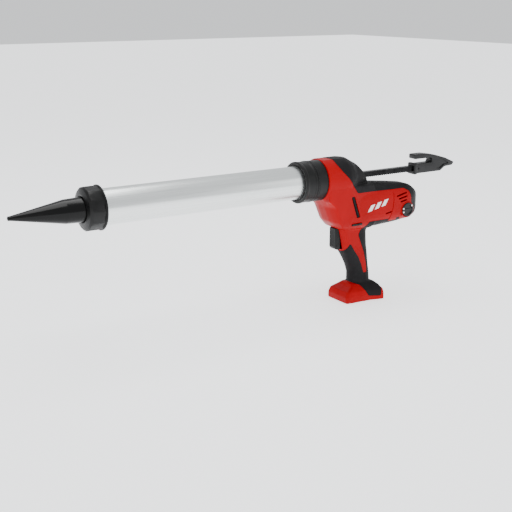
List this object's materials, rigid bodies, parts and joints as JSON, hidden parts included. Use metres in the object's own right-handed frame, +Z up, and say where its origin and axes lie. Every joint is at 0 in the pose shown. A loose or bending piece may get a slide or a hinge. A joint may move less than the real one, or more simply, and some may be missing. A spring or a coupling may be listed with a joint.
{
  "type": "caulking gun",
  "caption": "Cordless caulking gun with a long aluminium sausage barrel, cone nozzle, toothed push rod with a hanging hook, pistol handle and battery foot.",
  "frame": {"origin": "middle of the flat underside of the foot, on the terminal block", "axes": "+Z up, -X towards the nozzle, -Y the left side of the tool"},
  "size_m": [0.85, 0.076, 0.262],
  "materials": {
    "gloss_black": "gloss",
    "black_plastic": "satin moulded",
    "rubber_seal": "matte",
    "satin_aluminium": "satin drawn",
    "rod_steel": "ground",
    "grey_plastic": "moulded",
    "gear_steel": "machined",
    "bronze": "sintered",
    "cast_aluminium": "as cast",
    "magnet": "sintered",
    "copper": "drawn",
    "red_plastic": "fine texture",
    "soft_black": "fine texture",
    "board_green": "lacquered"
  },
  "bodies": {
    "body": {"nose_ring": "black_plastic", "gearbox_housing": "cast_aluminium", "gearbox_cover": "cast_aluminium", "rod_guide_bushes": "bronze", "pinion_bushes": "bronze", "cross_shaft_bushes": "bronze", "ring_gear": "gear_steel", "planetary_case": "cast_aluminium", "motor_can": "rod_steel", "motor_magnets": "magnet", "motor_end_bell": "black_plastic", "left_housing": "red_plastic", "right_housing": "red_plastic", "left_body_overmould": "soft_black", "right_body_overmould": "soft_black", "left_grip_overmould": "soft_black", "right_grip_overmould": "soft_black", "left_side_insert": "soft_black", "right_side_insert": "soft_black", "housing_screws": "rod_steel", "trigger_switch": "black_plastic", "control_board": "board_green", "terminal_block": "black_plastic", "terminal_blades": "copper"},
    "barrel": {"barrel_tube": "satin_aluminium", "tube_end_ring": "satin_aluminium"},
    "collar": {"barrel_collar": "black_plastic"},
    "nozzle_set": {"nozzle": "gloss_black", "front_seal": "rubber_seal"},
    "cap": {"front_cap": "black_plastic"},
    "rod": {"rack_rod": "rod_steel", "rod_hook": "black_plastic", "hook_pin": "rod_steel", "piston_disc": "grey_plastic", "piston_seal": "rubber_seal", "piston_screw": "rod_steel"},
    "rack_gear": {"rack_pinion": "gear_steel", "pinion_shaft": "gear_steel"},
    "wheel": {"spur_wheel": "gear_steel"},
    "cross": {"cross_shaft": "gear_steel", "spur_pinion": "gear_steel", "bevel_gear": "gear_steel"},
    "carrier": {"planet_carrier": "gear_steel", "bevel_pinion": "gear_steel"},
    "planet_1": {"planet_gear_1": "gear_steel"},
    "planet_2": {"planet_gear_2": "gear_steel"},
    "planet_3": {"planet_gear_3": "gear_steel"},
    "rotor": {"motor_shaft": "gear_steel", "rotor_core": "gear_steel", "commutator": "copper", "cooling_fan": "black_plastic"},
    "trigger": {"trigger": "black_plastic", "trigger_spring": "rod_steel"},
    "lock": {"lock_off_button": "black_plastic"},
    "dial": {"speed_dial": "black_plastic"}
  },
  "joints": [
    {"name": "barrel_turn", "type": "hinge", "parent": "body", "child": "barrel", "pos_m": [0, 0, 0.225], "axis": [1, 0, 0], "continuous": true},
    {"name": "collar_turn", "type": "hinge", "parent": "body", "child": "collar", "pos_m": [0, 0, 0.225], "axis": [1, 0, 0], "continuous": true},
    {"name": "nozzle_slide", "type": "slide", "parent": "barrel", "child": "nozzle_set", "axis": [-1, 0, 0], "range_m": [0, 0.012]},
    {"name": "cap_unscrew", "type": "hinge", "parent": "nozzle_set", "child": "cap", "pos_m": [0, 0, 0.225], "axis": [-1, 0, 0], "range_deg": [0, 1081]},
    {"name": "rod_slide", "type": "slide", "parent": "body", "child": "rod", "axis": [1, 0, 0], "range_m": [-0.104, 0.255]},
    {"name": "pinion_spin", "type": "hinge", "parent": "body", "child": "rack_gear", "pos_m": [-0.045, 0, 0.2125], "axis": [0, 1, 0], "range_deg": [-664, 1625]},
    {"name": "motor_spin", "type": "hinge", "parent": "body", "child": "rotor", "pos_m": [0, 0, 0.17], "axis": [1, 0, 0], "continuous": true},
    {"name": "carrier_spin", "type": "hinge", "parent": "body", "child": "carrier", "pos_m": [0, 0, 0.17], "axis": [1, 0, 0], "continuous": true},
    {"name": "cross_spin", "type": "hinge", "parent": "body", "child": "cross", "pos_m": [-0.045, 0, 0.17], "axis": [0, 1, 0], "continuous": true},
    {"name": "wheel_spin", "type": "hinge", "parent": "body", "child": "wheel", "pos_m": [-0.045, 0, 0.2125], "axis": [0, 1, 0], "continuous": true},
    {"name": "planet_1_spin", "type": "hinge", "parent": "carrier", "child": "planet_1", "pos_m": [-0.01, 0, 0.182], "axis": [1, 0, 0], "continuous": true},
    {"name": "planet_2_spin", "type": "hinge", "parent": "carrier", "child": "planet_2", "pos_m": [-0.01, -0.01039, 0.164], "axis": [1, 0, 0], "continuous": true},
    {"name": "planet_3_spin", "type": "hinge", "parent": "carrier", "child": "planet_3", "pos_m": [-0.01, 0.01039, 0.164], "axis": [1, 0, 0], "continuous": true},
    {"name": "trigger_pull", "type": "slide", "parent": "body", "child": "trigger", "axis": [1, 0, 0], "range_m": [0, 0.0065], "stiffness_N_per_m": 600, "springref_m": -0.006, "deforming": ["trigger_spring"]},
    {"name": "lock_push", "type": "slide", "parent": "body", "child": "lock", "axis": [0, 1, 0], "range_m": [-0.003, 0.003]},
    {"name": "dial_turn", "type": "hinge", "parent": "body", "child": "dial", "pos_m": [0.0915, -0.029, 0.158], "axis": [0, 1, 0], "range_deg": [-135, 135]}
  ],
  "couplings": [
    {"joint": "pinion_spin", "follows": "rod_slide", "rad_per_m": 111.11},
    {"joint": "cap_unscrew", "follows": "nozzle_slide", "rad_per_m": 1570.8},
    {"joint": "carrier_spin", "follows": "motor_spin", "ratio": 0.2},
    {"joint": "cross_spin", "follows": "motor_spin", "ratio": 0.1},
    {"joint": "wheel_spin", "follows": "motor_spin", "ratio": -0.047826},
    {"joint": "planet_1_spin", "follows": "motor_spin", "ratio": -0.53333},
    {"joint": "planet_2_spin", "follows": "motor_spin", "ratio": -0.53333},
    {"joint": "planet_3_spin", "follows": "motor_spin", "ratio": -0.53333}
  ]
}
